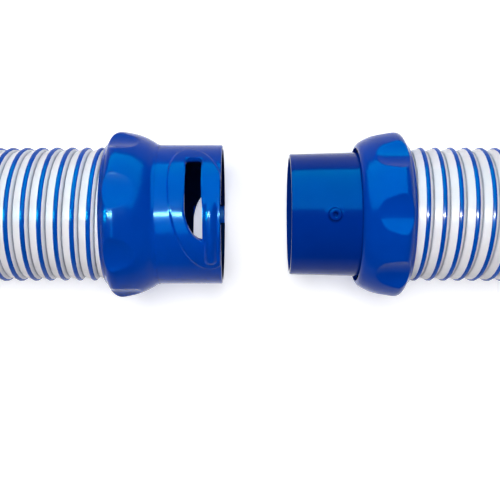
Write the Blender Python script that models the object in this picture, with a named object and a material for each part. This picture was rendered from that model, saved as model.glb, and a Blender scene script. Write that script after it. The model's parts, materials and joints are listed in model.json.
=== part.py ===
"""A pool vacuum hose with a twist-lock socket at one end and a twist-lock spigot at the other.

The two cuffs lie on one line along X, mouth to mouth, and the hose between them lies in a flat
loop behind them (+Y). The origin is on the floor, midway between the backs of the two collars.
Angles are about +X from straight up (+Z), so a positive angle is towards -Y.
"""

import math

import bmesh
import bpy
import numpy as np

MM = 0.001
GAP = 0.3 * MM  # between solids that touch on the real hose
SEGMENTS = 48  # round pieces
SHARP_ANGLE = 35.0
OVERCUT = 1.0 * MM  # how far a cutter runs past a surface

# The hose
HOSE_RADIUS = 25.0 * MM
HOSE_WALL = 1.6 * MM
HOSE_POINT_SPACING = 36.0 * MM
HOSE_SIDES = 12
HOSE_FLAT_RADIUS = HOSE_RADIUS * math.cos(math.pi / HOSE_SIDES)  # at the middle of a side

# The collars, which the cuffs lie on
COLLAR_RADIUS = 30.8 * MM
COLLAR_LENGTH = 18.6 * MM
COLLAR_BACK_RADIUS = 26.2 * MM
COLLAR_BORE = 26.8 * MM
COLLAR_HOSE_BORE = HOSE_RADIUS + 0.4 * MM
COLLAR_LIP_WIDTH = 1.5 * MM
COLLAR_SHOULDER = 9.0 * MM  # from the lip to the inner shoulder that holds the ferrule flange
COLLAR_OUTSIDE = [  # (distance from the lip, radius), from the back to the front
    (COLLAR_LENGTH, COLLAR_BACK_RADIUS),
    (16.6 * MM, 29.1 * MM),
    (15.3 * MM, 30.4 * MM),
    (13.6 * MM, COLLAR_RADIUS),
    (10.6 * MM, 30.4 * MM),
    (7.0 * MM, 29.6 * MM),
    (3.5 * MM, 28.1 * MM),
    (1.2 * MM, 27.0 * MM),
]
LIP_EDGE = 0.4 * MM
DIMPLES = 8
DIMPLE_CENTRE = 8.6 * MM  # from the lip
FEMALE_DIMPLES = (28.0, 20.0 * MM, 29.0 * MM)  # one's angle, its radius, how near the axis it is
MALE_DIMPLES = (0.0, 16.5 * MM, 28.5 * MM)
BALL_SEGMENTS, BALL_RINGS = 32, 24
AXIS_HEIGHT = COLLAR_RADIUS

# The socket
BARREL_RADIUS = 25.8 * MM
BARREL_LENGTH = 23.9 * MM
SOCKET_BORE = 24.3 * MM
SEAT_BORE = 23.1 * MM
SEAT_DEPTH = 16.0 * MM
SEAT_SLOPE = 1.5 * MM  # along the bore
MOUTH_BEVEL = (0.4 * MM, 0.3 * MM)  # along the barrel, and across its wall
BORE_BEVEL = (0.5 * MM, 0.2 * MM)
WATERWAY = 20.8 * MM
WEB_START = 2.5 * MM  # from the collar's lip, towards the hose
WEB_END = 4.5 * MM
WEB_RADIUS = COLLAR_BORE - GAP

# The slot, pad and pin channel in each side of the socket: depths are from the mouth
SLOT_START, SLOT_TIP = -49.5, 20.0
SLOT_NEAR, SLOT_NEAR_AT_TIP = 6.95 * MM, 6.4 * MM
SLOT_NARROWING = (-25.0, 0.0)  # the angles over which the near edge moves to its place at the tip
SLOT_FAR, SLOT_FAR_AT_TIP = 12.6 * MM, 7.4 * MM
SLOT_BEND = -6.0  # where the slot starts to curve towards the mouth
SLOT_STEP = 6.0  # degrees between the cutter's sections
CUT_INNER, CUT_OUTER = 23.6 * MM, 29.0 * MM  # the radii that the slot's cutter spans
PAD_CENTRE, PAD_HALF_ANGLE = -7.5, 55.5
PAD_RADIUS = 26.5 * MM
PAD_HALF_WIDTH = 10.25 * MM
PAD_NEAR = 0.6 * MM
PAD_DEPTH_AT_START, PAD_DEPTH_AT_END = 11.5 * MM, 4.0 * MM
PAD_END_TRIM = 1.5  # degrees left off each end, where the pad has no width
PAD_STEP = 7.0
PAD_ROOT = 25.0 * MM  # how deep in the barrel's wall the pad and the cover start
CHANNEL_HALF_ANGLE = 8.0
CHANNEL_STEP = 4.0
CHANNEL_RADIUS = 25.8 * MM
CHANNEL_END = 12.5 * MM
COVER_START, COVER_END = -18.0, 42.0
COVER_RISE, COVER_FALL = 18.0, 11.0  # the angles over which its height comes and goes
COVER_RUN_OUT = 1.0  # how far past its ends the height would be nothing
COVER_STEP = 5.8
COVER_TILTS = (0, 45, 90, 135, 180)  # places over its half-round top
COVER_NEAR, COVER_FAR = 1.2 * MM, 6.2 * MM
COVER_HEIGHT = 2.1 * MM

# The spigot
SPIGOT_LENGTH = 24.6 * MM
SPIGOT_BASE_RADIUS = 23.2 * MM
SPIGOT_TIP_RADIUS = 22.5 * MM
SPIGOT_WALL = 1.5 * MM
MALE_LIP_BORE = SPIGOT_BASE_RADIUS + 1.6 * MM  # leaves a crevice round the spigot
PIN_FROM_TIP = 15.0 * MM
PIN_RADIUS = 2.2 * MM
PIN_TOP = 25.4 * MM
PIN_HOLE_RADIUS = 1.0 * MM
PIN_HOLE_FLOOR = 22.6 * MM
PIN_ROOT = 22.0 * MM
PIN_SEGMENTS = 24

# The ferrules and rings inside the collars: distances are from the collar's lip
FLANGE_START, FLANGE_END = 6.2 * MM, 7.4 * MM
FLANGE_RADIUS = 26.0 * MM
SLEEVE_RADIUS = HOSE_FLAT_RADIUS - HOSE_WALL - GAP
SLEEVE_BORE = 20.9 * MM
SLEEVE_END = 24.0 * MM
SLEEVE_TAPER = (2.0 * MM, 0.6 * MM)  # along the sleeve, and across its wall
HOSE_START = FLANGE_END + GAP
GASKET_INNER, GASKET_OUTER = 22.2 * MM, 25.4 * MM
SEAL_START = 0.8 * MM

# The cuffs' places along X
MOUTH_GAP = 24.7 * MM
CUFFS_LENGTH = 2 * COLLAR_LENGTH + BARREL_LENGTH + SPIGOT_LENGTH + MOUTH_GAP
LIP_X = CUFFS_LENGTH / 2 - COLLAR_LENGTH
MOUTH_X = -(LIP_X - BARREL_LENGTH)
FEMALE, MALE = -1, 1  # the side of the origin, along X

# The hose's route from the socket's end to the spigot's end, on the floor behind the cuffs
HOSE_END_X = LIP_X + HOSE_START
CUFF_LINE = AXIS_HEIGHT
ON_FLOOR = HOSE_RADIUS + GAP
ROUTE = [
    (-HOSE_END_X, 0.0, CUFF_LINE),
    (-0.082, 0.0, CUFF_LINE),
    (-0.100, 0.0, 0.0298),
    (-0.125, 0.002, 0.0274),
    (-0.175, 0.012, ON_FLOOR),
    (-0.235, 0.041, ON_FLOOR),
    (-0.291, 0.094, ON_FLOOR),
    (-0.326, 0.166, ON_FLOOR),
    (-0.333, 0.247, ON_FLOOR),
    (-0.311, 0.330, ON_FLOOR),
    (-0.260, 0.399, ON_FLOOR),
    (-0.188, 0.445, ON_FLOOR),
    (-0.104, 0.466, ON_FLOOR),
    (-0.012, 0.470, ON_FLOOR),
    (0.082, 0.467, ON_FLOOR),
    (0.168, 0.450, ON_FLOOR),
    (0.243, 0.410, ON_FLOOR),
    (0.298, 0.348, ON_FLOOR),
    (0.326, 0.268, ON_FLOOR),
    (0.324, 0.184, ON_FLOOR),
    (0.290, 0.106, ON_FLOOR),
    (0.236, 0.047, ON_FLOOR),
    (0.176, 0.014, ON_FLOOR),
    (0.125, 0.002, 0.0274),
    (0.100, 0.0, 0.0298),
    (0.082, 0.0, CUFF_LINE),
    (HOSE_END_X, 0.0, CUFF_LINE),
]

# Materials: colour, roughness
BLUE_PLASTIC = ((0.0, 0.075, 0.42, 1.0), 0.25)
HOSE_PLASTIC = ((0.72, 0.75, 0.80, 1.0), 0.35)
WHITE_PLASTIC = ((0.80, 0.80, 0.78, 1.0), 0.40)
BLACK_RUBBER = ((0.02, 0.02, 0.02, 1.0), 0.70)


def clear_scene():
    for obj in list(bpy.data.objects):
        bpy.data.objects.remove(obj, do_unlink=True)


def make_material(name, look):
    colour, roughness = look
    material = bpy.data.materials.new(name)
    material.use_nodes = True
    shader = material.node_tree.nodes["Principled BSDF"]
    shader.inputs["Base Color"].default_value = colour
    shader.inputs["Roughness"].default_value = roughness
    shader.inputs["Metallic"].default_value = 0.0
    return material


def make_axis(name):
    """An empty on the cuffs' axis, which its pieces turn and slide with."""
    empty = bpy.data.objects.new(name, None)
    empty.location = (0.0, 0.0, AXIS_HEIGHT)
    bpy.context.scene.collection.objects.link(empty)
    return empty


def mesh_object(name, vertices, faces):
    mesh = bpy.data.meshes.new(name)
    mesh.from_pydata(vertices, [], faces)
    shape = bmesh.new()
    shape.from_mesh(mesh)
    bmesh.ops.recalc_face_normals(shape, faces=shape.faces)
    shape.to_mesh(mesh)
    shape.free()
    obj = bpy.data.objects.new(name, mesh)
    bpy.context.scene.collection.objects.link(obj)
    return obj


def around(x, radius, degrees):
    """A point at that angle about the cuffs' axis."""
    angle = math.radians(degrees)
    return (x, -radius * math.sin(angle), radius * math.cos(angle))


def turned(name, outline):
    """A ring whose section is the outline, a closed loop of (x, radius) points."""
    vertices = [
        around(x, radius, 360 * step / SEGMENTS)
        for step in range(SEGMENTS)
        for x, radius in outline
    ]
    count = len(outline)
    faces = []
    for step in range(SEGMENTS):
        here = step * count
        after = (step + 1) % SEGMENTS * count
        for i in range(count):
            j = (i + 1) % count
            faces.append((here + i, here + j, after + j, after + i))
    return mesh_object(name, vertices, faces)


def on_side(side, outline):
    """Turns (distance from the collar's lip, radius) into (x, radius) at one end of the hose."""
    return [(side * (LIP_X + distance), radius) for distance, radius in outline]


def swept_arc(name, sections, turn):
    """A solid swept about the cuffs' axis: each section is an angle and its (x, radius) outline."""
    vertices = [
        around(x, radius, degrees + turn)
        for degrees, outline in sections
        for x, radius in outline
    ]
    count = len(sections[0][1])
    last = (len(sections) - 1) * count
    faces = [tuple(range(count)), tuple(range(last, last + count))]
    for step in range(len(sections) - 1):
        here = step * count
        after = here + count
        for i in range(count):
            j = (i + 1) % count
            faces.append((here + i, here + j, after + j, after + i))
    return mesh_object(name, vertices, faces)


def block(near, far, inner, outer):
    """A rectangular section between two depths from the socket's mouth."""
    return [
        (MOUTH_X - near, inner),
        (MOUTH_X - far, inner),
        (MOUTH_X - far, outer),
        (MOUTH_X - near, outer),
    ]


def ease(value, start, end):
    """0 before start, 1 after end, and smooth between them."""
    share = min(max((value - start) / (end - start), 0.0), 1.0)
    return share * share * (3 - 2 * share)


def angles(start, end, step):
    count = max(1, round(abs(end - start) / step))
    return [start + (end - start) * i / count for i in range(count + 1)]


def slot_cutter(turn):
    sections = []
    for degrees in angles(SLOT_START, SLOT_TIP, SLOT_STEP):
        bend = max(0.0, (degrees - SLOT_BEND) / (SLOT_TIP - SLOT_BEND))
        near = SLOT_NEAR + (SLOT_NEAR_AT_TIP - SLOT_NEAR) * ease(degrees, *SLOT_NARROWING)
        far = SLOT_FAR + (SLOT_FAR_AT_TIP - SLOT_FAR) * bend**2
        sections.append((degrees, block(near, far, CUT_INNER, CUT_OUTER)))
    return swept_arc("slot_cutter", sections, turn)


def channel_cutter(turn):
    """The groove that a lock pin enters by, from the mouth to the slot."""
    sections = [
        (degrees, block(-OVERCUT, CHANNEL_END, CUT_INNER, CHANNEL_RADIUS))
        for degrees in angles(-CHANNEL_HALF_ANGLE, CHANNEL_HALF_ANGLE, CHANNEL_STEP)
    ]
    return swept_arc("channel_cutter", sections, turn)


def pad_block(turn):
    """The raised oval pad round the slot, which runs out at the mouth."""
    sections = []
    half = PAD_HALF_ANGLE - PAD_END_TRIM
    for degrees in angles(PAD_CENTRE - half, PAD_CENTRE + half, PAD_STEP):
        share = (degrees - PAD_CENTRE) / PAD_HALF_ANGLE
        middle = (PAD_DEPTH_AT_START + PAD_DEPTH_AT_END) / 2
        middle += (PAD_DEPTH_AT_END - PAD_DEPTH_AT_START) / 2 * share
        half_width = PAD_HALF_WIDTH * math.sqrt(1 - share**2)
        near = max(PAD_NEAR, middle - half_width)
        sections.append((degrees, block(near, middle + half_width, PAD_ROOT, PAD_RADIUS)))
    return swept_arc("pad_block", sections, turn)


def cover_block(turn):
    """The half-round cover over the pin channel, beside the mouth."""
    sections = []
    middle = (COVER_NEAR + COVER_FAR) / 2
    half_width = (COVER_FAR - COVER_NEAR) / 2
    start, end = COVER_START - COVER_RUN_OUT, COVER_END + COVER_RUN_OUT
    for degrees in angles(COVER_START, COVER_END, COVER_STEP):
        rise = ease(degrees, start, COVER_START + COVER_RISE)
        fall = math.sqrt(1 - ease(degrees, COVER_END - COVER_FALL, end) ** 2)
        top = COVER_HEIGHT * rise * fall
        outline = [(MOUTH_X - COVER_FAR, PAD_ROOT), (MOUTH_X - COVER_NEAR, PAD_ROOT)]
        for tilt in COVER_TILTS:
            depth = middle - half_width * math.cos(math.radians(tilt))
            outline.append((MOUTH_X - depth, BARREL_RADIUS + top * math.sin(math.radians(tilt))))
        sections.append((degrees, outline))
    return swept_arc("cover_block", sections, turn)


def dimple_cutter(side, degrees, radius, floor):
    """A thumb scoop: a ball, drawn out towards the collar's back edge."""
    shape = bmesh.new()
    bmesh.ops.create_uvsphere(
        shape, u_segments=BALL_SEGMENTS, v_segments=BALL_RINGS, radius=radius
    )
    for vertex in shape.verts:
        if vertex.co.x * side > radius / BALL_SEGMENTS:  # past the ball's middle ring
            vertex.co.x += side * COLLAR_LENGTH
    mesh = bpy.data.meshes.new("dimple_cutter")
    shape.to_mesh(mesh)
    shape.free()
    obj = bpy.data.objects.new("dimple_cutter", mesh)
    obj.location = around(side * (LIP_X + DIMPLE_CENTRE), floor + radius, degrees)
    bpy.context.scene.collection.objects.link(obj)
    return obj


def round_block(name, inner, outer, radius, x, degrees):
    """A round post that stands out from the cuffs' axis at one angle."""
    shape = bmesh.new()
    bmesh.ops.create_cone(
        shape,
        cap_ends=True,
        segments=PIN_SEGMENTS,
        radius1=radius,
        radius2=radius,
        depth=outer - inner,
    )
    mesh = bpy.data.meshes.new(name)
    shape.to_mesh(mesh)
    shape.free()
    obj = bpy.data.objects.new(name, mesh)
    obj.location = around(x, (inner + outer) / 2, degrees)
    obj.rotation_euler = (math.radians(degrees), 0.0, 0.0)
    bpy.context.scene.collection.objects.link(obj)
    return obj


def combine(obj, tool, operation):
    """Adds a Boolean and keeps its tool as a hidden guide, on the same axis as the piece."""
    tool.hide_render = True
    tool.display_type = "WIRE"
    tool.location.z += AXIS_HEIGHT
    modifier = obj.modifiers.new(tool.name, "BOOLEAN")
    modifier.operation = operation
    modifier.solver = "EXACT"
    modifier.object = tool


def place(obj, axis, look):
    obj.parent = axis
    obj.data.materials.append(make_material(obj.name, look))
    obj.data.shade_smooth()
    obj.data.set_sharp_from_angle(angle=math.radians(SHARP_ANGLE))
    return obj


def make_socket(axis):
    mouth = -BARREL_LENGTH
    outline = [
        (mouth, SOCKET_BORE + BORE_BEVEL[1]),
        (mouth + BORE_BEVEL[0], SOCKET_BORE),
        (mouth + SEAT_DEPTH, SOCKET_BORE),
        (mouth + SEAT_DEPTH + SEAT_SLOPE, SEAT_BORE),
        (WEB_START, SEAT_BORE),
        (WEB_START, WATERWAY),
        (WEB_END, WATERWAY),
        (WEB_END, WEB_RADIUS),
        (WEB_START - GAP, WEB_RADIUS),
        (WEB_START - GAP, BARREL_RADIUS),
        (mouth + MOUTH_BEVEL[0], BARREL_RADIUS),
        (mouth, BARREL_RADIUS - MOUTH_BEVEL[1]),
    ]
    socket = turned("female_socket", on_side(FEMALE, outline))
    for turn in (0, 180):
        combine(socket, pad_block(turn), "UNION")
        combine(socket, cover_block(turn), "UNION")
        combine(socket, slot_cutter(turn), "DIFFERENCE")
        combine(socket, channel_cutter(turn), "DIFFERENCE")
    return place(socket, axis, BLUE_PLASTIC)


def make_spigot(axis):
    outline = [
        (-SPIGOT_LENGTH, SPIGOT_TIP_RADIUS - SPIGOT_WALL),
        (WEB_END, SPIGOT_BASE_RADIUS - SPIGOT_WALL),
        (WEB_END, WEB_RADIUS),
        (WEB_START - GAP, WEB_RADIUS),
        (WEB_START - GAP, SPIGOT_BASE_RADIUS),
        (-SPIGOT_LENGTH + MOUTH_BEVEL[0], SPIGOT_TIP_RADIUS),
        (-SPIGOT_LENGTH, SPIGOT_TIP_RADIUS - MOUTH_BEVEL[1]),
    ]
    spigot = turned("male_spigot", on_side(MALE, outline))
    pin_x = LIP_X - SPIGOT_LENGTH + PIN_FROM_TIP
    for degrees in (0, 180):
        pin = round_block("pin_block", PIN_ROOT, PIN_TOP, PIN_RADIUS, pin_x, degrees)
        hole = round_block(
            "pin_hole", PIN_HOLE_FLOOR, PIN_TOP + OVERCUT, PIN_HOLE_RADIUS, pin_x, degrees
        )
        combine(spigot, pin, "UNION")
        combine(spigot, hole, "DIFFERENCE")
    return place(spigot, axis, BLUE_PLASTIC)


def make_collar(side, name, lip_bore, dimples, axis):
    """The grip collar: a convex shoulder in front and a steep chamfer behind."""
    dimple_turn, dimple_radius, dimple_floor = dimples
    outline = [
        (0.0, lip_bore),
        (COLLAR_LIP_WIDTH, lip_bore),
        (COLLAR_LIP_WIDTH, COLLAR_BORE),
        (COLLAR_SHOULDER, COLLAR_BORE),
        (COLLAR_SHOULDER, COLLAR_HOSE_BORE),
        (COLLAR_LENGTH, COLLAR_HOSE_BORE),
        *COLLAR_OUTSIDE,
        (0.0, lip_bore + LIP_EDGE),
    ]
    collar = turned(name, on_side(side, outline))
    for dimple in range(DIMPLES):
        degrees = dimple_turn + 360 * dimple / DIMPLES
        ball = dimple_cutter(side, degrees, dimple_radius, dimple_floor)
        combine(collar, ball, "DIFFERENCE")
    return place(collar, axis, BLUE_PLASTIC)


def make_ferrule(side, name, axis):
    """The sleeve in the hose's end, with the flange that the collar holds."""
    outline = [
        (FLANGE_START, SLEEVE_BORE),
        (SLEEVE_END, SLEEVE_BORE),
        (SLEEVE_END, SLEEVE_RADIUS - SLEEVE_TAPER[1]),
        (SLEEVE_END - SLEEVE_TAPER[0], SLEEVE_RADIUS),
        (FLANGE_END, SLEEVE_RADIUS),
        (FLANGE_END, FLANGE_RADIUS),
        (FLANGE_START, FLANGE_RADIUS),
    ]
    return place(turned(name, on_side(side, outline)), axis, WHITE_PLASTIC)


def make_ring(side, name, start, end, inner, outer, axis, look):
    outline = [(start, inner), (end, inner), (end, outer), (start, outer)]
    return place(turned(name, on_side(side, outline)), axis, look)


def smooth_line(points, spacing):
    """Evenly spaced points on the natural cubic spline through the given ones."""
    points = np.array(points)
    count = len(points)
    chords = np.linalg.norm(np.diff(points, axis=0), axis=1)
    knots = np.concatenate([[0.0], np.cumsum(chords)])
    system = np.eye(count)
    bends = np.zeros_like(points)
    for i in range(1, count - 1):
        before, after = chords[i - 1], chords[i]
        system[i, i - 1 : i + 2] = before, 2 * (before + after), after
        slope_change = (points[i + 1] - points[i]) / after - (points[i] - points[i - 1]) / before
        bends[i] = 6 * slope_change
    bends = np.linalg.solve(system, bends)
    steps = round(knots[-1] / spacing)
    line = []
    for value in np.linspace(0.0, knots[-1], steps + 1):
        i = min(np.searchsorted(knots, value, side="right") - 1, count - 2)
        width = chords[i]
        a = (knots[i + 1] - value) / width
        b = 1 - a
        curve = (a**3 - a) * bends[i] + (b**3 - b) * bends[i + 1]
        line.append(a * points[i] + b * points[i + 1] + curve * width**2 / 6)
    return line


def make_hose():
    """The hose as a plain tube, without its ribs."""
    curve = bpy.data.curves.new("hose_tube", "CURVE")
    curve.dimensions = "3D"
    curve.bevel_depth = HOSE_RADIUS
    curve.bevel_resolution = HOSE_SIDES // 2 - 2
    curve.use_fill_caps = False
    line = smooth_line(ROUTE, HOSE_POINT_SPACING)
    spline = curve.splines.new("POLY")
    spline.points.add(len(line) - 1)
    for point, place_on_line in zip(spline.points, line):
        point.co = (*place_on_line, 1.0)
    hose = bpy.data.objects.new("hose_tube", curve)
    bpy.context.scene.collection.objects.link(hose)
    wall = hose.modifiers.new("wall", "SOLIDIFY")
    wall.thickness = HOSE_WALL
    wall.offset = -1.0
    curve.materials.append(make_material("hose_tube", HOSE_PLASTIC))
    return hose


def main():
    clear_scene()
    female_end = make_axis("female_end_axis")
    male_end = make_axis("male_end_axis")
    male_cuff = make_axis("male_cuff_axis")
    make_hose()

    make_socket(female_end)
    make_collar(FEMALE, "female_collar", BARREL_RADIUS + GAP, FEMALE_DIMPLES, female_end)
    make_ferrule(FEMALE, "female_ferrule", female_end)
    make_ring(
        FEMALE, "female_gasket", WEB_END + GAP, FLANGE_START - GAP,
        GASKET_INNER, GASKET_OUTER, female_end, BLACK_RUBBER,
    )
    make_ring(
        FEMALE, "seat_seal", SEAL_START, WEB_START - GAP,
        WATERWAY, SEAT_BORE - GAP, female_end, BLACK_RUBBER,
    )

    make_ferrule(MALE, "male_ferrule", male_end)
    make_spigot(male_cuff)
    make_collar(MALE, "male_collar", MALE_LIP_BORE, MALE_DIMPLES, male_cuff)
    make_ring(
        MALE, "male_gasket", WEB_END + GAP, FLANGE_START - GAP,
        GASKET_INNER, GASKET_OUTER, male_cuff, BLACK_RUBBER,
    )
    make_ring(
        MALE, "male_slip_ring", FLANGE_END + GAP, COLLAR_SHOULDER - GAP,
        COLLAR_HOSE_BORE, COLLAR_BORE - GAP, male_cuff, WHITE_PLASTIC,
    )


main()
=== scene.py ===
"""The looks of a pool vacuum hose with twist-lock cuffs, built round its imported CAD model.

The cuffs' axis runs along X at the height of the collars' radius, and the hose lies in a loop
behind them (+Y). Angles are about +X from straight up (+Z), so a positive angle is towards -Y.
"""

import json
import math

import bmesh
import bpy
import numpy as np
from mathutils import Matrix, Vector


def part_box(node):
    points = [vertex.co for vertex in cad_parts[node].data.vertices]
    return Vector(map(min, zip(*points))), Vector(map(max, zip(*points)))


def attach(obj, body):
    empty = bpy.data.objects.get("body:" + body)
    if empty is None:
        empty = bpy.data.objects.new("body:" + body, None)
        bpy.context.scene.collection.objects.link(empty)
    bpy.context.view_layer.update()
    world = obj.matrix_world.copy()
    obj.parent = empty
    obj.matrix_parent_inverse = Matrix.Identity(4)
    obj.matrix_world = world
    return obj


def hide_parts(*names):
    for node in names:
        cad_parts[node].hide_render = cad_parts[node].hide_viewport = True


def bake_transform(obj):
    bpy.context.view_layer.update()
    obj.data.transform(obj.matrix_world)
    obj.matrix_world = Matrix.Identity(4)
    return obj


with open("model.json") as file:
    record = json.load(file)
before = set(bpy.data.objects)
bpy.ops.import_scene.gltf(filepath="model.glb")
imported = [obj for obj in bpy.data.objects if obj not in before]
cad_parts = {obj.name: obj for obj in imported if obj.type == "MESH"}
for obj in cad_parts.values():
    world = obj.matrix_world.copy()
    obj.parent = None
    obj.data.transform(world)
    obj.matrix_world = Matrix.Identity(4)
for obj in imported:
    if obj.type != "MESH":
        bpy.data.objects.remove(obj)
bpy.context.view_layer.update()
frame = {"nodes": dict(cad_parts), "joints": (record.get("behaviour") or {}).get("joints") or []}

MM = 0.001
SHARP_ANGLE = math.radians(38)
MERGE_WITHIN = 0.001 * MM

# The frame's own places
TWIST = next(joint for joint in frame["joints"] if joint["name"] == "cuff_twist")
AXIS_HEIGHT = TWIST["pos_m"][2]
MOUTH_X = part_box("female_socket")[1].x
TIP_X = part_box("male_spigot")[0].x
LIP_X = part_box("male_collar")[0].x
COLLAR_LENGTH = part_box("male_collar")[1].x - LIP_X
FEMALE, MALE = -1, 1  # the side of the origin, along X
HALF_TURNS = (0, 180)  # the slots and the pins are in pairs

# The hose. Its ribs follow one left-handed helix, and a place on a rib is a share of its pitch.
HOSE_RADIUS = 25.0 * MM
HOSE_END_X = LIP_X + 7.7 * MM
HOSE_SEGMENTS = 36
HOSE_STEP = 4.0 * MM
RIB_PITCH = 5.5 * MM
RIB_AT_SOCKET_END = 14.6 * MM  # from the hose's end to the top of a rib
RIB_AT_SPIGOT_END = 15.1 * MM
WALL_PROFILE = [  # share, depth below the bead's top, how much grey shade is painted on it
    (0.11, 0.55 * MM, 0.0),
    (0.26, 0.70 * MM, 0.0),
    (0.43, 1.00 * MM, 0.0),
    (0.575, 1.30 * MM, 0.10),
    (0.635, 2.25 * MM, 0.9),
    (0.69, 1.35 * MM, 0.45),
    (0.79, 1.00 * MM, 0.25),
    (0.89, 0.60 * MM, 0.20),
]
BEAD_PROFILE = [  # share, depth below the bead's top
    (-0.155, 0.80 * MM),
    (-0.105, 0.22 * MM),
    (0.0, 0.0),
    (0.105, 0.22 * MM),
    (0.155, 0.80 * MM),
]
BEAD_END_GAP = 0.5  # of a turn
SPARE_TURNS = 2  # of the ribbed sheet past each end, before it is cut square
LINING_RADIUS = 22.45 * MM
LINING_STEP = 16.0 * MM

# The collars. Outlines are (distance from the lip, radius).
GAP = 0.3 * MM
COLLAR_SEGMENTS = 480
COLLAR_STEP = 0.4 * MM
COLLAR_BORE = 26.8 * MM
COLLAR_HOSE_BORE = 25.4 * MM
COLLAR_LIP_WIDTH = 1.5 * MM
COLLAR_SHOULDER = 9.0 * MM
COLLAR_BODY = [
    (3.4 * MM, 28.1 * MM),
    (7.0 * MM, 29.6 * MM),
    (11.0 * MM, 30.5 * MM),
    (14.0 * MM, 30.8 * MM),
    (15.4 * MM, 30.3 * MM),
    (16.6 * MM, 29.1 * MM),
    (17.7 * MM, 27.2 * MM),
    (COLLAR_LENGTH, 26.2 * MM),
]
FEMALE_COLLAR_FRONT = [(-0.7 * MM, 25.95 * MM), (0.1 * MM, 26.15 * MM), (1.5 * MM, 27.0 * MM)]
MALE_COLLAR_FRONT = [(0.0, 25.2 * MM), (0.25 * MM, 25.8 * MM), (1.3 * MM, 26.9 * MM)]
FEMALE_LIP_BORE = 25.9 * MM
MALE_LIP_BORE = 24.8 * MM
DIMPLES = 8
DIMPLE_CENTRE = 8.6 * MM  # from the lip
DIMPLE_LIP = 0.25 * MM  # how softly a dimple meets the collar
FEMALE_DIMPLES = (28.0, 20.0 * MM, 29.0 * MM)  # turn, radius, and how near the axis they reach
MALE_DIMPLES = (0.0, 16.5 * MM, 28.5 * MM)

# The socket. Depths are from the mouth, and its slot, pad, channel and cover come twice round it.
SOCKET_SEGMENTS = 480
SOCKET_STEP = 0.3 * MM
BARREL_RADIUS = 25.8 * MM
BARREL_LENGTH = 23.9 * MM
PLAIN_NEAR_COLLAR = 1.0 * MM  # no raised parts in the last stretch of the barrel
SOCKET_RIM = 0.4 * MM
RIM_BEVEL = 0.3  # of the rim
SOCKET_BORE = 24.3 * MM
SEAT_BORE = 23.1 * MM
SEAT_DEPTH = 16.0 * MM
SEAT_CONE = 1.5 * MM
WATERWAY = 20.8 * MM
WEB_START, WEB_END = 2.5 * MM, 4.5 * MM  # from the collar's lip
WEB_RADIUS = 26.5 * MM
SLOT_START, SLOT_TIP = -49.5, 20.5
SLOT_NEAR, SLOT_NEAR_AT_TIP = 7.0 * MM, 6.4 * MM
SLOT_LEAN_START, SLOT_LEAN_END = -25.0, 0.0  # where its near edge goes from one to the other
SLOT_FAR = 12.65 * MM
SLOT_BEND = -4.0  # where the slot starts to curve towards the mouth
SLOT_BEND_POWER = 1.5
SLOT_CORNER = 1.6 * MM
SLOT_SECTIONS = 60
SLOT_END_TRIM = 0.999
SLOT_INNER, SLOT_OUTER = 23.6 * MM, 29.0 * MM
SLOT_ROUND = 0.30 * MM
SLOT_ROUND_WIDTH = 0.6 * MM
PAD_CENTRE, PAD_HALF_ANGLE = -7.5, 55.5
PAD_HEIGHT = 0.7 * MM
PAD_HALF_WIDTH = 10.25 * MM
PAD_DEPTH_AT_START, PAD_DEPTH_AT_END = 11.5 * MM, 4.0 * MM
PAD_EDGE = 0.7 * MM
PAD_LEAST_SIZE = 0.01  # keeps the pad's slope from dividing by zero at its centre
CHANNEL_HALF_ANGLE = 8.0
CHANNEL_STEPS = 4
CHANNEL_RADIUS = 25.8 * MM
CHANNEL_BEFORE_MOUTH = 1.0 * MM
CHANNEL_SHORT_OF_SLOT = 0.1 * MM
COVER_START, COVER_END = -18.0, 37.0
COVER_FADE = 16.0
COVER_DEPTH = 3.7 * MM
COVER_HALF_WIDTH = 2.5 * MM
COVER_HEIGHT = 2.1 * MM
COVER_MEETING = 0.4 * MM
COVER_ROUND = 0.75

# The spigot
SPIGOT_SEGMENTS = 160
SPIGOT_BASE_RADIUS = 23.2 * MM
SPIGOT_TIP_RADIUS = 22.5 * MM
SPIGOT_WALL = 1.5 * MM
SPIGOT_STEP = 2.0 * MM
SPIGOT_TIP = [  # (distance from the tip, radius above the tip's), up to where the taper starts
    (0.0, -0.45 * MM),
    (0.12 * MM, -0.15 * MM),
    (0.45 * MM, 0.0),
    (1.5 * MM, 0.03 * MM),
]
SPIGOT_BORE_BEVEL = 0.3 * MM
PIN_FROM_TIP = 15.0 * MM
PIN_OUTLINE = [  # (radius from the pin's own axis, height above the cuffs' axis)
    (2.9 * MM, 22.2 * MM),
    (2.9 * MM, 22.75 * MM),
    (2.55 * MM, 22.95 * MM),
    (2.3 * MM, 23.3 * MM),
    (2.2 * MM, 23.8 * MM),
    (2.2 * MM, 24.9 * MM),
    (2.05 * MM, 25.25 * MM),
    (1.75 * MM, 25.4 * MM),
    (1.3 * MM, 25.4 * MM),
]
PIN_HOLE_OUTLINE = [
    (0.8 * MM, 22.0 * MM),
    (0.8 * MM, 25.0 * MM),
    (0.95 * MM, 25.3 * MM),
    (1.2 * MM, 25.45 * MM),
    (1.2 * MM, 26.0 * MM),
]
PIN_SEGMENTS = 48

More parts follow.
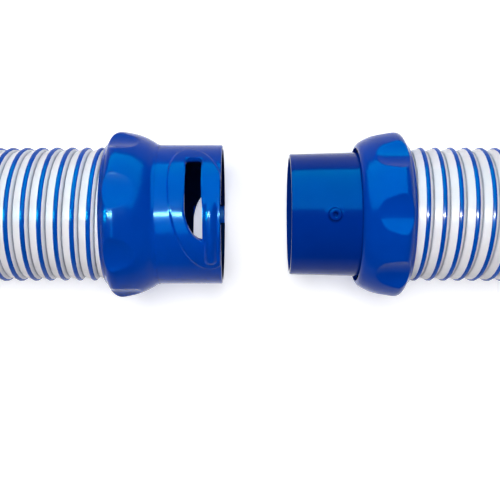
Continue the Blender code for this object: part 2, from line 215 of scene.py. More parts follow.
# The hose's route, as in the CAD model
CUFF_LINE = AXIS_HEIGHT
ON_FLOOR = HOSE_RADIUS + 0.3 * MM
ROUTE = [
    (-HOSE_END_X, 0.0, CUFF_LINE),
    (-0.082, 0.0, CUFF_LINE),
    (-0.100, 0.0, 0.0298),
    (-0.125, 0.002, 0.0274),
    (-0.175, 0.012, ON_FLOOR),
    (-0.235, 0.041, ON_FLOOR),
    (-0.291, 0.094, ON_FLOOR),
    (-0.326, 0.166, ON_FLOOR),
    (-0.333, 0.247, ON_FLOOR),
    (-0.311, 0.330, ON_FLOOR),
    (-0.260, 0.399, ON_FLOOR),
    (-0.188, 0.445, ON_FLOOR),
    (-0.104, 0.466, ON_FLOOR),
    (-0.012, 0.470, ON_FLOOR),
    (0.082, 0.467, ON_FLOOR),
    (0.168, 0.450, ON_FLOOR),
    (0.243, 0.410, ON_FLOOR),
    (0.298, 0.348, ON_FLOOR),
    (0.326, 0.268, ON_FLOOR),
    (0.324, 0.184, ON_FLOOR),
    (0.290, 0.106, ON_FLOOR),
    (0.236, 0.047, ON_FLOOR),
    (0.176, 0.014, ON_FLOOR),
    (0.125, 0.002, 0.0274),
    (0.100, 0.0, 0.0298),
    (0.082, 0.0, CUFF_LINE),
    (HOSE_END_X, 0.0, CUFF_LINE),
]

# The camera, straight above the cuffs
CAMERA_X = -2.6 * MM
CAMERA_ABOVE_AXIS = 318.0 * MM
VIEW_WIDTH = 187.3 * MM  # at the height of the cuffs' axis
CAMERA_SHIFT = -0.0715
SENSOR = 36.0  # in the camera's own millimetres

# The materials
BLUE = ((0.0, 0.046, 0.375), (0.0, 0.055, 0.430))  # two tints that drift into each other
# painted shade: the near-black blue painted inside the socket, where shade falls in its bore and
# slots
INSIDE_PAINTED_SHADE = (0.0, 0.004, 0.035)
GREEN_FALL = 1.5  # how much faster the green goes than the blue in a deeper painted shade
SPIGOT_PAINTED_SHADE = 0.66  # painted shade: the spigot is the socket's plastic, painted a deeper blue for the dimmer light on its side
# painted shade: from the first radius to the second, the socket's inside goes from painted dark to
# its own blue
SOCKET_PAINTED_SHADE_RADII = (SOCKET_BORE + 0.1 * MM, BARREL_RADIUS - 0.5 * MM)
BEAD_BLUE = ((0.0, 0.066, 0.42), (0.0, 0.084, 0.50))
HOSE_WHITE = ((0.86, 0.84, 0.87), (0.92, 0.90, 0.93))
# painted shade: the grey painted into the hose's creases and onto the flank beside each crease
FOLD_PAINTED_SHADE = (0.22, 0.24, 0.33)
FERRULE_WHITE = ((0.72, 0.72, 0.70), (0.80, 0.80, 0.78))
SEAL_BLACK = ((0.012, 0.012, 0.013), (0.03, 0.03, 0.032))

# The floor
FLOOR_SIZE = 12.0
FLOOR_PALE = 0.92
FLOOR_ROUGHNESS = 0.9
FLOOR_GLOW = 0.42

# The light: a soft light that shows in no reflection, and others that show only in reflections
WORLD_STRENGTH = 0.02
SOCKET_SIDE_LIGHTS = ("low_panel", "strip", "side_strip")
WHITE = (1.0, 1.0, 1.0)
CYAN = (0.0, 0.80, 1.0)
SOFT_PLACE = (-0.06, 0.13, 0.9)
SOFT_AIM = (0.0, 0.0, 0.0)
SOFT_SIZE = (0.45, 0.45)
SOFT_POWER = 7.7
REFLECTED_LIGHTS = [  # name, place, aim, size, power, colour
    ("panel", (-0.3, 1.02, 0.78), (-0.3, 0.24, 0.0), (2.6, 2.2), 430.0, CYAN),
    ("low_panel", (-0.09, -0.15, 0.62), (-0.09, -0.15, 0.0), (0.13, 0.35), 4.0, CYAN),
    ("strip", (-0.28, 0.0, 0.62), (-0.28, 0.0, 0.0), (0.50, 0.030), 55.0, WHITE),
    ("side_strip", (-1.2, 0.0, 0.62), (-0.1, 0.0, 0.05), (0.25, 0.7), 90.0, CYAN),
]


def clamp(value, low, high):
    return max(low, min(high, value))


def ease(value, start, end):
    """0 before start, 1 after end, and smooth between them."""
    share = clamp((value - start) / (end - start), 0.0, 1.0)
    return share * share * (3 - 2 * share)


def around(x, radius, degrees):
    """A point at that angle about the cuffs' axis."""
    angle = math.radians(degrees)
    return (x, -radius * math.sin(angle), AXIS_HEIGHT + radius * math.cos(angle))


# ---------------------------------------------------------------- camera, light and floor


def make_camera():
    """A camera that looks straight down, shifted so that the cuffs sit high in the picture."""
    data = bpy.data.cameras.new("camera")
    data.sensor_width = SENSOR
    data.lens = SENSOR * CAMERA_ABOVE_AXIS / VIEW_WIDTH
    data.shift_y = CAMERA_SHIFT
    camera = bpy.data.objects.new("camera", data)
    camera.location = (CAMERA_X, 0.0, AXIS_HEIGHT + CAMERA_ABOVE_AXIS)
    bpy.context.scene.collection.objects.link(camera)
    bpy.context.scene.camera = camera
    bpy.context.scene.view_settings.view_transform = "Standard"


def make_area_light(name, place, aim, size, power, colour):
    """A rectangular light that faces the point it is aimed at."""
    data = bpy.data.lights.new(name, "AREA")
    data.shape = "RECTANGLE"
    data.size, data.size_y = size
    data.energy = power
    data.color = colour
    light = bpy.data.objects.new(name, data)
    light.location = place
    light.rotation_euler = (Vector(aim) - Vector(place)).to_track_quat("-Z", "Y").to_euler()
    bpy.context.scene.collection.objects.link(light)
    return light


def make_lights(socket_side):
    """The soft light and the reflected ones, some of which reach only the socket side's pieces."""
    soft = make_area_light("soft", SOFT_PLACE, SOFT_AIM, SOFT_SIZE, SOFT_POWER, WHITE)
    soft.visible_glossy = False
    receivers = bpy.data.collections.new("socket_side")
    for piece in socket_side:
        receivers.objects.link(piece)
    for row in REFLECTED_LIGHTS:
        light = make_area_light(*row)
        light.visible_diffuse = False
        if light.name in SOCKET_SIDE_LIGHTS:
            light.light_linking.receiver_collection = receivers


def make_world():
    """A nearly black world, so that the lights alone make the reflections."""
    world = bpy.data.worlds.new("studio")
    world.use_nodes = True
    background = world.node_tree.nodes["Background"]
    background.inputs["Color"].default_value = (*WHITE, 1.0)
    background.inputs["Strength"].default_value = WORLD_STRENGTH
    bpy.context.scene.world = world


def make_floor():
    """Pale paper with a faint glow of its own, which keeps the shadows on it soft."""
    bpy.ops.mesh.primitive_plane_add(size=FLOOR_SIZE, location=(0.0, 0.0, 0.0))
    floor = bpy.context.object
    floor.name = "floor"
    material = bpy.data.materials.new("floor_paper")
    material.use_nodes = True
    shader = material.node_tree.nodes["Principled BSDF"]
    shader.inputs["Base Color"].default_value = (FLOOR_PALE, FLOOR_PALE, FLOOR_PALE, 1.0)
    shader.inputs["Roughness"].default_value = FLOOR_ROUGHNESS
    shader.inputs["Specular IOR Level"].default_value = 0.0
    shader.inputs["Emission Color"].default_value = (*WHITE, 1.0)
    shader.inputs["Emission Strength"].default_value = FLOOR_GLOW
    floor.data.materials.append(material)


# ---------------------------------------------------------------- materials


class Nodes:
    """A material's node tree, with short calls for adding and joining nodes."""

    def __init__(self, name):
        self.material = bpy.data.materials.new(name)
        self.material.use_nodes = True
        self.tree = self.material.node_tree
        self.shader = self.tree.nodes["Principled BSDF"]
        self.place = self.tree.nodes.new("ShaderNodeTexCoord").outputs["Object"]

    def set(self, **values):
        for name, value in values.items():
            self.shader.inputs[name.replace("_", " ")].default_value = value

    def noise(self, scale, detail=2.0, roughness=0.5):
        node = self.tree.nodes.new("ShaderNodeTexNoise")
        node.inputs["Scale"].default_value = scale
        node.inputs["Detail"].default_value = detail
        node.inputs["Roughness"].default_value = roughness
        self.tree.links.new(self.place, node.inputs["Vector"])
        return node.outputs["Fac"]

    def spread(self, value, low, high, start=0.3, end=0.7):
        """Maps a range of values, by default a noise's middle range, to low and high."""
        node = self.tree.nodes.new("ShaderNodeMapRange")
        node.inputs["From Min"].default_value = start
        node.inputs["From Max"].default_value = end
        node.inputs["To Min"].default_value = low
        node.inputs["To Max"].default_value = high
        self.tree.links.new(value, node.inputs["Value"])
        return node.outputs["Result"]

    def mix(self, share, first, second):
        node = self.tree.nodes.new("ShaderNodeMix")
        node.data_type = "RGBA"
        self.tree.links.new(share, node.inputs["Factor"])
        for socket, colour in ((6, first), (7, second)):
            if isinstance(colour, tuple):
                node.inputs[socket].default_value = (*colour, 1.0)
            else:
                self.tree.links.new(colour, node.inputs[socket])
        return node.outputs[2]

    def cuff_radius(self):
        """How far a place is from the cuffs' axis."""
        node = self.tree.nodes.new("ShaderNodeVectorMath")
        node.operation = "MULTIPLY_ADD"
        node.inputs[1].default_value = (0.0, 1.0, 1.0)
        node.inputs[2].default_value = (0.0, 0.0, -AXIS_HEIGHT)
        self.tree.links.new(self.place, node.inputs[0])
        length = self.tree.nodes.new("ShaderNodeVectorMath")
        length.operation = "LENGTH"
        self.tree.links.new(node.outputs["Vector"], length.inputs[0])
        return length.outputs["Value"]

    def attribute(self, name):
        """A value that each point of the mesh carries."""
        node = self.tree.nodes.new("ShaderNodeAttribute")
        node.attribute_name = name
        return node.outputs["Fac"]

    def bump(self, height, distance):
        node = self.tree.nodes.new("ShaderNodeBump")
        node.inputs["Strength"].default_value = 1.0
        node.inputs["Distance"].default_value = distance
        self.tree.links.new(height, node.inputs["Height"])
        return node.outputs["Normal"]

    def link(self, value, name):
        self.tree.links.new(value, self.shader.inputs[name])


def deepened(colour, shade):
    """A blue made darker and less green by painted shade, as the shade goes below 1."""
    red, green, blue = colour
    return (red, green * shade**GREEN_FALL, blue * shade)


def blue_plastic(name, shade, painted_shade_radii=None):
    """Glossy moulded plastic with a faint ripple, darkened by painted shade as the shade goes below
    1.

    Given two radii, shade is painted inside it: it is dark and dull within the first and fully
    blue beyond the second.
    """
    nodes = Nodes(name)
    nodes.set(IOR=1.15, Specular_Tint=(0.2, 0.65, 1.0, 1.0))
    cloud = nodes.spread(nodes.noise(scale=55.0, detail=3.0), 0.0, 1.0)
    colour = nodes.mix(cloud, *(deepened(tint, shade) for tint in BLUE))
    # painted shade: inside the socket the blue darkens to near black and its reflection dulls,
    # standing in for the shade there
    if painted_shade_radii is not None:
        outside = nodes.spread(nodes.cuff_radius(), 0.0, 1.0, *painted_shade_radii)
        colour = nodes.mix(outside, INSIDE_PAINTED_SHADE, colour)
        nodes.link(nodes.spread(outside, 0.02, 0.5, start=0.0, end=1.0), "Specular IOR Level")
    nodes.link(colour, "Base Color")
    roughness = nodes.spread(nodes.noise(scale=420.0, detail=4.0, roughness=0.6), 0.13, 0.18)
    nodes.link(roughness, "Roughness")
    nodes.link(nodes.bump(nodes.noise(scale=60.0, detail=1.0), 0.03 * MM), "Normal")
    return nodes.material


def hose_plastic():
    """The hose's glossy pale wall, with grey shade painted into its creases and onto the flank
    beside them.
    """
    nodes = Nodes("hose_plastic")
    nodes.set(IOR=1.35, Specular_IOR_Level=0.05)
    cloud = nodes.spread(nodes.noise(scale=70.0, detail=3.0), 0.0, 1.0)
    clean = nodes.mix(cloud, *HOSE_WHITE)
    # painted shade: each point's shade value greys the wall in the creases and on the flank beside
    # them
    nodes.link(nodes.mix(nodes.attribute("fold_shade"), clean, FOLD_PAINTED_SHADE), "Base Color")
    nodes.link(nodes.spread(nodes.noise(scale=300.0, detail=3.0), 0.20, 0.34), "Roughness")
    nodes.link(nodes.bump(nodes.noise(scale=700.0), 0.02 * MM), "Normal")
    return nodes.material


def bead_plastic():
    """The glossy blue bead welded along the hose's crest."""
    nodes = Nodes("bead_plastic")
    nodes.set(IOR=1.15)
    cloud = nodes.spread(nodes.noise(scale=80.0), 0.0, 1.0)
    nodes.link(nodes.mix(cloud, *BEAD_BLUE), "Base Color")
    nodes.link(nodes.spread(nodes.noise(scale=350.0), 0.12, 0.20), "Roughness")
    nodes.link(nodes.bump(nodes.noise(scale=500.0), 0.015 * MM), "Normal")
    return nodes.material


def ferrule_plastic():
    """The plain white plastic of the hidden sleeves and the slip ring."""
    nodes = Nodes("ferrule_plastic")
    grain = nodes.spread(nodes.noise(scale=120.0, detail=3.0), 0.0, 1.0)
    nodes.link(nodes.mix(grain, *FERRULE_WHITE), "Base Color")
    nodes.link(nodes.spread(nodes.noise(scale=500.0, detail=3.0), 0.36, 0.5), "Roughness")
    nodes.link(nodes.bump(nodes.noise(scale=1500.0), 0.01 * MM), "Normal")
    return nodes.material


def seal_rubber():
    """The dull black rubber of the gaskets and the seat's seal."""
    nodes = Nodes("seal_rubber")
    grain = nodes.spread(nodes.noise(scale=200.0, detail=3.0), 0.0, 1.0)
    nodes.link(nodes.mix(grain, *SEAL_BLACK), "Base Color")
    nodes.link(nodes.spread(nodes.noise(scale=900.0, detail=3.0), 0.55, 0.75), "Roughness")
    nodes.link(nodes.bump(nodes.noise(scale=2200.0, detail=3.0), 0.02 * MM), "Normal")
    return nodes.material


# ---------------------------------------------------------------- mesh helpers


def solid_object(name, mesh, material, merge=False):
    """An object of a closed mesh, with its faces turned outward and only sharp edges left sharp."""
    shape = bmesh.new()
    shape.from_mesh(mesh)
    if merge:
        bmesh.ops.remove_doubles(shape, verts=shape.verts, dist=MERGE_WITHIN)
    bmesh.ops.recalc_face_normals(shape, faces=shape.faces)
    shape.to_mesh(mesh)
    shape.free()
    mesh.shade_smooth()
    mesh.set_sharp_from_angle(angle=SHARP_ANGLE)
    if material is not None:
        mesh.materials.append(material)
    obj = bpy.data.objects.new(name, mesh)
    bpy.context.scene.collection.objects.link(obj)
    return obj


def mesh_object(name, vertices, faces, material=None):
    """A solid of those points and faces. A cutter needs no material."""
    mesh = bpy.data.meshes.new(name)
    mesh.from_pydata(vertices, [], faces)
    return solid_object(name, mesh, material)


def loop_faces(rings, count, closed):
    """Quads between rings of count points each, and from the last ring to the first if closed."""
    faces = []
    for ring in range(rings if closed else rings - 1):
        here = ring * count
        after = (ring + 1) % rings * count
        for i in range(count):
            j = (i + 1) % count
            faces.append((here + i, here + j, after + j, after + i))
    return faces


def turned(name, outside, inside, segments, material, relief=None):
    """A ring turned about the cuffs' axis. Only the outside's points take the relief."""
    vertices = []
    for step in range(segments):
        degrees = 360 * step / segments
        for x, radius in outside:
            shaped = relief(x, radius, degrees) if relief else radius
            vertices.append(around(x, shaped, degrees))
        vertices.extend(around(x, radius, degrees) for x, radius in inside)
    faces = loop_faces(segments, len(outside) + len(inside), closed=True)
    return mesh_object(name, vertices, faces, material)


def swept_arc(name, sections, turn):
    """A solid swept about the cuffs' axis: each section is an angle and its (x, radius) outline."""
    vertices = [
        around(x, radius, degrees + turn)
        for degrees, outline in sections
        for x, radius in outline
    ]
    count = len(sections[0][1])
    faces = loop_faces(len(sections), count, closed=False)
    last = (len(sections) - 1) * count
    faces.append(tuple(range(count)))
    faces.append(tuple(range(last, last + count)))
    return mesh_object(name, vertices, faces)


def line_points(start, end, spacing):
    """Points from start towards end, without the end itself."""
    count = max(1, round(math.dist(start, end) / spacing))
    return [
        tuple(a + (b - a) * i / count for a, b in zip(start, end)) for i in range(count)
    ]


def cut(obj, tools, operation="DIFFERENCE"):
    """Applies a Boolean with each tool in turn, and removes the tools."""
    for tool in tools:
        modifier = obj.modifiers.new("cut", "BOOLEAN")
        modifier.operation = operation
        modifier.solver = "EXACT"
        modifier.object = tool
        graph = bpy.context.evaluated_depsgraph_get()
        result = bpy.data.meshes.new_from_object(obj.evaluated_get(graph))
        obj.modifiers.clear()
        obj.data = result
        bpy.data.objects.remove(tool)
    obj.data.shade_smooth()
    obj.data.set_sharp_from_angle(angle=SHARP_ANGLE)
    return obj


# ---------------------------------------------------------------- the hose


def smooth_line(points, spacing):
    """Evenly spaced points on the natural cubic spline through the given ones."""
    points = np.array(points)
    count = len(points)
    chords = np.linalg.norm(np.diff(points, axis=0), axis=1)
    knots = np.concatenate([[0.0], np.cumsum(chords)])
    system = np.eye(count)
    bends = np.zeros_like(points)
    for i in range(1, count - 1):
        before, after = chords[i - 1], chords[i]
        system[i, i - 1 : i + 2] = before, 2 * (before + after), after
        slope_change = (points[i + 1] - points[i]) / after - (points[i] - points[i - 1]) / before
        bends[i] = 6 * slope_change
    bends = np.linalg.solve(system, bends)
    values = np.linspace(0.0, knots[-1], round(knots[-1] / spacing) + 1)
    i = np.clip(np.searchsorted(knots, values, side="right") - 1, 0, count - 2)
    width = chords[i][:, None]
    a = (knots[i + 1] - values)[:, None] / width
    b = 1 - a
    curve = (a**3 - a) * bends[i] + (b**3 - b) * bends[i + 1]
    return a * points[i] + b * points[i + 1] + curve * width**2 / 6


def wall_look(share):
    """The wall's depth below the bead's crest, and how much shade is painted on it, round a pitch.
    """
    shares, depths, fold_shades = (list(column) for column in zip(*WALL_PROFILE))
    shares = [shares[-1] - 1, *shares, shares[0] + 1]
    depths = [depths[-1], *depths, depths[0]]
    fold_shades = [fold_shades[-1], *fold_shades, fold_shades[0]]
    return np.interp(share, shares, depths), np.interp(share, shares, fold_shades)


class Centreline:
    """The hose's line, and the places of things on and round it."""

    def __init__(self):
        self.points = smooth_line(ROUTE, HOSE_STEP)
        steps = np.linalg.norm(np.diff(self.points, axis=0), axis=1)
        self.along = np.concatenate([[0.0], np.cumsum(steps)])
        self.ahead = np.gradient(self.points, self.along, axis=0)
        self.length = self.along[-1]
        ribbed = self.length - RIB_AT_SOCKET_END - RIB_AT_SPIGOT_END
        self.pitch = ribbed / round(ribbed / RIB_PITCH)

    def surface(self, distance, radius, angle):
        """Points at that distance along the line, that far from it, at that angle round it."""
        def read(table):
            return np.stack([np.interp(distance, self.along, table[:, k]) for k in range(3)], -1)

        ahead = read(self.ahead)
        side = np.cross((0.0, 0.0, 1.0), ahead)
        side /= np.linalg.norm(side, axis=-1, keepdims=True)
        up = np.cross(ahead, side)
        up /= np.linalg.norm(up, axis=-1, keepdims=True)
        spoke = np.cos(angle)[..., None] * up + np.sin(angle)[..., None] * side
        return read(self.points) + radius[..., None] * spoke

    def helix(self, first, last, shares):
        """(distance, angle) of points that follow the bead round the hose, at shares of a pitch."""
        turns = np.arange(round(first * HOSE_SEGMENTS), round(last * HOSE_SEGMENTS) + 1)
        turns = turns[:, None] / HOSE_SEGMENTS
        distance = RIB_AT_SOCKET_END + (turns + np.array(shares)[None, :]) * self.pitch
        return distance, np.broadcast_to(2 * np.pi * turns, distance.shape)


def hose_object(name, points, along, faces, material, fold_shades=None):
    """A mesh that remembers how far along the hose each point is, with its doubled points merged."""
    mesh = bpy.data.meshes.new(name)
    mesh.from_pydata(points.tolist(), [], faces)
    mesh.attributes.new("along", "FLOAT", "POINT").data.foreach_set("value", along)
    # painted shade: how grey each point is painted, for the material to read
    if fold_shades is not None:
        mesh.attributes.new("fold_shade", "FLOAT", "POINT").data.foreach_set("value", fold_shades)
    return solid_object(name, mesh, material, merge=True)


def quads(first, second):
    """Quads between two rows of point numbers."""
    return np.stack([first[:-1], first[1:], second[1:], second[:-1]], axis=-1)


def make_hose_wall(line, material):
    """The ribbed wall as one helical sheet, cut square at both ends and lined by a plain tube."""
    first = -math.ceil(RIB_AT_SOCKET_END / line.pitch) - SPARE_TURNS
    last = math.ceil((line.length - RIB_AT_SOCKET_END) / line.pitch) + SPARE_TURNS
    shares = [row[0] for row in WALL_PROFILE]
    distance, angle = line.helix(first, last, shares)
    distance = np.clip(distance, 0.0, line.length)
    share = (distance - RIB_AT_SOCKET_END) / line.pitch - angle / (2 * np.pi)
    # painted shade for each point, from the profile's last column
    depth, fold_shade = wall_look(share % 1.0)
    outside = line.surface(distance, HOSE_RADIUS - depth, angle)

    number = np.arange(distance.size).reshape(distance.shape)
    faces = [quads(number[:, j], number[:, j + 1]) for j in range(len(shares) - 1)]
    faces.append(quads(number[:-HOSE_SEGMENTS, -1], number[HOSE_SEGMENTS:, 0]))

    rings = round(line.length / LINING_STEP) + 1
    lining_distance = np.repeat(np.linspace(0.0, line.length, rings), HOSE_SEGMENTS)
    lining_angle = np.tile(angle[:HOSE_SEGMENTS, 0], rings)
    lining_radius = np.full(lining_distance.shape, LINING_RADIUS)
    inside = line.surface(lining_distance, lining_radius, lining_angle)
    lining = distance.size + np.arange(len(inside)).reshape(rings, HOSE_SEGMENTS)
    lining = np.concatenate([lining, lining[:, :1]], axis=1)
    faces.extend(quads(lining[i], lining[i + 1]) for i in range(rings - 1))
    faces.append(quads(number[: HOSE_SEGMENTS + 1, 0], lining[0]))
    faces.append(quads(number[-HOSE_SEGMENTS - 1 :, 0], lining[-1]))

    return hose_object(
        "hose_wall",
        np.concatenate([outside.reshape(-1, 3), inside]),
        np.concatenate([distance.ravel(), lining_distance]),
        np.concatenate(faces).tolist(),
        material,
        np.concatenate([fold_shade.ravel(), np.zeros(len(inside))]),
    )


def make_hose_bead(line, material):
    """The round-topped bead along the crest, a little sunk into the wall."""
    shares, depths = zip(*BEAD_PROFILE)
    last = (line.length - RIB_AT_SOCKET_END) / line.pitch
    first = -RIB_AT_SOCKET_END / line.pitch
    distance, angle = line.helix(first + BEAD_END_GAP, last - BEAD_END_GAP, shares)
    radius = np.broadcast_to(HOSE_RADIUS - np.array(depths)[None, :], distance.shape)
    points = line.surface(distance, radius, angle)
    number = np.arange(distance.size).reshape(distance.shape)
    count = len(shares)
    faces = np.concatenate(
        [quads(number[:, j], number[:, (j + 1) % count]) for j in range(count)]
    ).tolist()
    faces.extend([number[0].tolist(), number[-1].tolist()])
    return hose_object("hose_bead", points.reshape(-1, 3), distance.ravel(), faces, material)


def lay_hose(wall, bead):
    """The wall and bead stand for the CAD hose, which is hidden; each is baked in place and drops
    its record of how far along the hose its points are.
    """
    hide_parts("hose_tube")
    for obj in (wall, bead):
        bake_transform(obj)
        along = np.empty(len(obj.data.vertices), np.float32)
        obj.data.attributes["along"].data.foreach_get("value", along)
        obj.data.attributes.remove(obj.data.attributes["along"])


# ---------------------------------------------------------------- the cuffs


def smooth_lower(first, second, width):
    """The lower of two heights, with their meeting rounded over that width."""
    share = clamp(0.5 + 0.5 * (second - first) / width, 0.0, 1.0)
    return second + (first - second) * share - width * share * (1 - share)


def make_collar(side, name, outline, lip_bore, dimples, material):
    """The grip collar: a convex shoulder in front, a steep chamfer behind, and thumb dimples."""
    dimple_turn, dimple_radius, dimple_floor = dimples

    def scooped(x, radius, degrees):
        back = abs(x) - LIP_X
        step = 360 / DIMPLES
        offset = math.radians((degrees - dimple_turn + step / 2) % step - step / 2)
        ahead = min(0.0, back - DIMPLE_CENTRE)
        centre = dimple_floor + dimple_radius
        reach = dimple_radius**2 - ahead**2 - (centre * math.sin(offset)) ** 2
        if reach <= 0:
            return radius
        return smooth_lower(radius, centre * math.cos(offset) - math.sqrt(reach), DIMPLE_LIP)

    outside = smooth_line(outline, COLLAR_STEP).tolist()
    inside = [
        (COLLAR_LENGTH, COLLAR_HOSE_BORE),
        (COLLAR_SHOULDER, COLLAR_HOSE_BORE),
        (COLLAR_SHOULDER, COLLAR_BORE),
        (COLLAR_LIP_WIDTH, COLLAR_BORE),
        (COLLAR_LIP_WIDTH, lip_bore),
        (outline[0][0], lip_bore),
    ]
    return turned(
        name,
        [(side * (LIP_X + depth), radius) for depth, radius in outside],
        [(side * (LIP_X + depth), radius) for depth, radius in inside],
        COLLAR_SEGMENTS,
        material,
        scooped,
    )


def slot_depths(degrees):
    """The near and far edges of the slot at an angle."""
    near = SLOT_NEAR + (SLOT_NEAR_AT_TIP - SLOT_NEAR) * ease(degrees, SLOT_LEAN_START, SLOT_LEAN_END)
    bend = clamp((degrees - SLOT_BEND) / (SLOT_TIP - SLOT_BEND), 0.0, 1.0)
    far = near + (SLOT_FAR - near) * math.sqrt(1 - bend**SLOT_BEND_POWER)
    corner = clamp(1 - BARREL_RADIUS * math.radians(degrees - SLOT_START) / SLOT_CORNER, 0.0, 1.0)
    inset = SLOT_CORNER * (1 - math.sqrt(1 - corner**2))
    return near + inset, far - inset


def slot_angles():
    """Angles along the slot, close together at both of its round ends."""
    half = (SLOT_TIP - SLOT_START) / 2
    middle = (SLOT_TIP + SLOT_START) / 2
    return [
        middle - half * SLOT_END_TRIM * math.cos(math.pi * i / SLOT_SECTIONS)
        for i in range(SLOT_SECTIONS + 1)
    ]


def block(near, far, inner, outer):
    """A rectangular section between two depths from the socket's mouth."""
    return [
        (MOUTH_X - near, inner),
        (MOUTH_X - far, inner),
        (MOUTH_X - far, outer),
        (MOUTH_X - near, outer),
    ]


def slot_cutter(turn):
    """The slot's whole shape, deeper than the barrel's wall."""
    sections = []
    for degrees in slot_angles():
        near, far = slot_depths(degrees)
        sections.append((degrees, block(near, far, SLOT_INNER, SLOT_OUTER)))
    return swept_arc("slot_cutter", sections, turn)


def channel_cutter(turn):
    """The groove that a lock pin enters by, from the mouth to the slot."""
    far = SLOT_FAR - CHANNEL_SHORT_OF_SLOT
    outline = block(-CHANNEL_BEFORE_MOUTH, far, SLOT_INNER, CHANNEL_RADIUS)
    sections = [
        (CHANNEL_HALF_ANGLE * (2 * i / CHANNEL_STEPS - 1), outline)
        for i in range(CHANNEL_STEPS + 1)
    ]
    return swept_arc("channel_cutter", sections, turn)


def pad_height(depth, degrees):
    """The raised oval pad round the slot, which runs out at the mouth."""
    along = (degrees - PAD_CENTRE) / PAD_HALF_ANGLE
    middle = (PAD_DEPTH_AT_START + PAD_DEPTH_AT_END) / 2
    middle += (PAD_DEPTH_AT_END - PAD_DEPTH_AT_START) / 2 * along
    across = (depth - middle) / PAD_HALF_WIDTH
    size = max(math.hypot(along, across), PAD_LEAST_SIZE)
    half_length = BARREL_RADIUS * math.radians(PAD_HALF_ANGLE)
    slope = math.hypot(along / half_length, across / PAD_HALF_WIDTH) / size
    from_edge = (1 - size) / slope
    return PAD_HEIGHT * ease(from_edge, -PAD_EDGE / 2, PAD_EDGE / 2)


def cover_height(depth, degrees):
    """The half-round cover over the pin channel, beside the mouth."""
    across = (depth - COVER_DEPTH) / COVER_HALF_WIDTH
    past = BARREL_RADIUS * math.radians(max(0.0, degrees - COVER_END)) / COVER_HALF_WIDTH
    rise = ease(degrees, COVER_START, COVER_START + COVER_FADE)
    return COVER_HEIGHT * rise * max(0.0, 1 - across**2 - past**2) ** COVER_ROUND


def slot_edge(depth, degrees):
    """How far the surface drops beside the slot's edge."""
    if not SLOT_START < degrees < SLOT_TIP:
        return 0.0
    near, far = slot_depths(degrees)
    outside = max(near - depth, depth - far)
    return SLOT_ROUND * clamp(1 - outside / SLOT_ROUND_WIDTH, 0.0, 1.0) ** 2


def make_socket(material):
    """The barrel with its pads, covers, slots and pin channels, and the web inside its collar."""

    def shaped(x, radius, degrees):
        depth = MOUTH_X - x
        if depth > BARREL_LENGTH - PLAIN_NEAR_COLLAR:
            return radius
        angle = (degrees + 90) % 180 - 90
        raised = -smooth_lower(
            -pad_height(depth, angle), -cover_height(depth, angle), COVER_MEETING
        )
        return radius + raised * ease(depth, 0.0, SOCKET_RIM) - slot_edge(depth, angle)

    web_start, web_end = BARREL_LENGTH + WEB_START, BARREL_LENGTH + WEB_END
    outside = [
        (0.0, BARREL_RADIUS - SOCKET_RIM),
        (RIM_BEVEL * SOCKET_RIM, BARREL_RADIUS - RIM_BEVEL * SOCKET_RIM),
        *line_points((SOCKET_RIM, BARREL_RADIUS), (web_start - GAP, BARREL_RADIUS), SOCKET_STEP),
        (web_start - GAP, BARREL_RADIUS),
    ]
    inside = [
        (web_start - GAP, WEB_RADIUS),
        (web_end, WEB_RADIUS),
        (web_end, WATERWAY),
        (web_start, WATERWAY),
        (web_start, SEAT_BORE),
        (SEAT_DEPTH + SEAT_CONE, SEAT_BORE),
        (SEAT_DEPTH, SOCKET_BORE),
        (SOCKET_RIM, SOCKET_BORE),
        (0.0, SOCKET_BORE + SOCKET_RIM / 2),
    ]
    socket = turned(
        "socket",
        [(MOUTH_X - depth, radius) for depth, radius in outside],
        [(MOUTH_X - depth, radius) for depth, radius in inside],
        SOCKET_SEGMENTS,
        material,
        shaped,
    )
    cutters = [maker(turn) for turn in HALF_TURNS for maker in (slot_cutter, channel_cutter)]
    return cut(socket, cutters)


def post(name, outline, x, degrees):
    """A turned post that stands out from the cuffs' axis at one angle."""
    tilt = math.radians(degrees)
    tangent = Vector((0.0, math.cos(tilt), math.sin(tilt)))
    vertices = []
    for radius, height in outline:
        for step in range(PIN_SEGMENTS):
            turn = 2 * math.pi * step / PIN_SEGMENTS
            base = Vector(around(x + radius * math.cos(turn), height, degrees))
            vertices.append(base + radius * math.sin(turn) * tangent)
    faces = loop_faces(len(outline), PIN_SEGMENTS, closed=False)
    last = (len(outline) - 1) * PIN_SEGMENTS
    faces.append(tuple(range(PIN_SEGMENTS)))
    faces.append(tuple(range(last, last + PIN_SEGMENTS)))
    return mesh_object(name, vertices, faces)


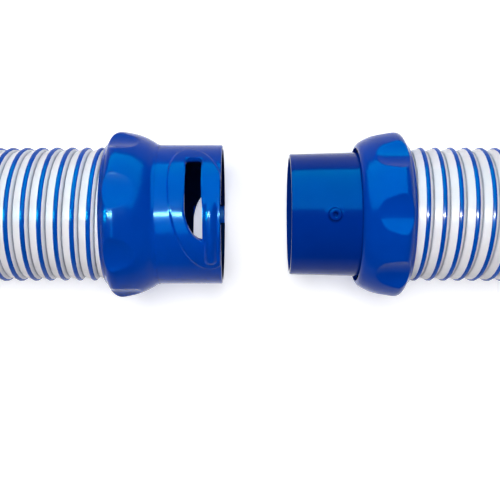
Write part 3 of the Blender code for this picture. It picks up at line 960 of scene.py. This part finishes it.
def make_spigot(material):
    """The tapered barrel with its web inside the collar and two hollow lock pins."""
    web_face = LIP_X + WEB_START - GAP
    *tip, taper_start = [
        (TIP_X + distance, SPIGOT_TIP_RADIUS + change) for distance, change in SPIGOT_TIP
    ]
    outside = [
        *tip,
        *line_points(taper_start, (web_face, SPIGOT_BASE_RADIUS), SPIGOT_STEP),
        (web_face, SPIGOT_BASE_RADIUS),
    ]
    inside = [
        (web_face, WEB_RADIUS),
        (LIP_X + WEB_END, WEB_RADIUS),
        (LIP_X + WEB_END, SPIGOT_BASE_RADIUS - SPIGOT_WALL),
        (TIP_X + SPIGOT_BORE_BEVEL, SPIGOT_TIP_RADIUS - SPIGOT_WALL),
        (TIP_X, SPIGOT_TIP_RADIUS - SPIGOT_WALL + SPIGOT_BORE_BEVEL),
    ]
    spigot = turned("spigot", outside, inside, SPIGOT_SEGMENTS, material)
    pin_x = TIP_X + PIN_FROM_TIP
    cut(spigot, [post("pin", PIN_OUTLINE, pin_x, turn) for turn in HALF_TURNS], "UNION")
    return cut(spigot, [post("hole", PIN_HOLE_OUTLINE, pin_x, turn) for turn in HALF_TURNS])


def stand_for(obj, node, body):
    """Puts a piece in a CAD node's place and on its body."""
    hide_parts(node)
    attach(obj, body)


def dress(node, material):
    """Gives a CAD node that stays in view its material."""
    obj = frame["nodes"][node]
    obj.data.materials.clear()
    obj.data.materials.append(material)


def main():
    make_camera()
    line = Centreline()
    wall = make_hose_wall(line, hose_plastic())
    bead = make_hose_bead(line, bead_plastic())
    lay_hose(wall, bead)

    socket_blue = blue_plastic("socket_blue", 1.0, SOCKET_PAINTED_SHADE_RADII)
    collar_blue = blue_plastic("collar_blue", 1.0)
    # painted shade: the spigot gets a darker copy of the same blue
    spigot_painted_shade_blue = blue_plastic("spigot_painted_shade_blue", SPIGOT_PAINTED_SHADE)
    socket = make_socket(socket_blue)
    stand_for(socket, "female_socket", "root")
    stand_for(make_spigot(spigot_painted_shade_blue), "male_spigot", "male_cuff")
    female_outline = FEMALE_COLLAR_FRONT + COLLAR_BODY
    male_outline = MALE_COLLAR_FRONT + COLLAR_BODY
    female_collar = make_collar(
        FEMALE, "socket_collar", female_outline, FEMALE_LIP_BORE, FEMALE_DIMPLES, collar_blue
    )
    male_collar = make_collar(
        MALE, "spigot_collar", male_outline, MALE_LIP_BORE, MALE_DIMPLES, collar_blue
    )
    stand_for(female_collar, "female_collar", "root")
    stand_for(male_collar, "male_collar", "male_cuff")

    white, black = ferrule_plastic(), seal_rubber()
    for node in ("female_ferrule", "male_ferrule", "male_slip_ring"):
        dress(node, white)
    for node in ("female_gasket", "male_gasket", "seat_seal"):
        dress(node, black)

    make_floor()
    make_world()
    make_lights((wall, bead, socket, female_collar))


main()
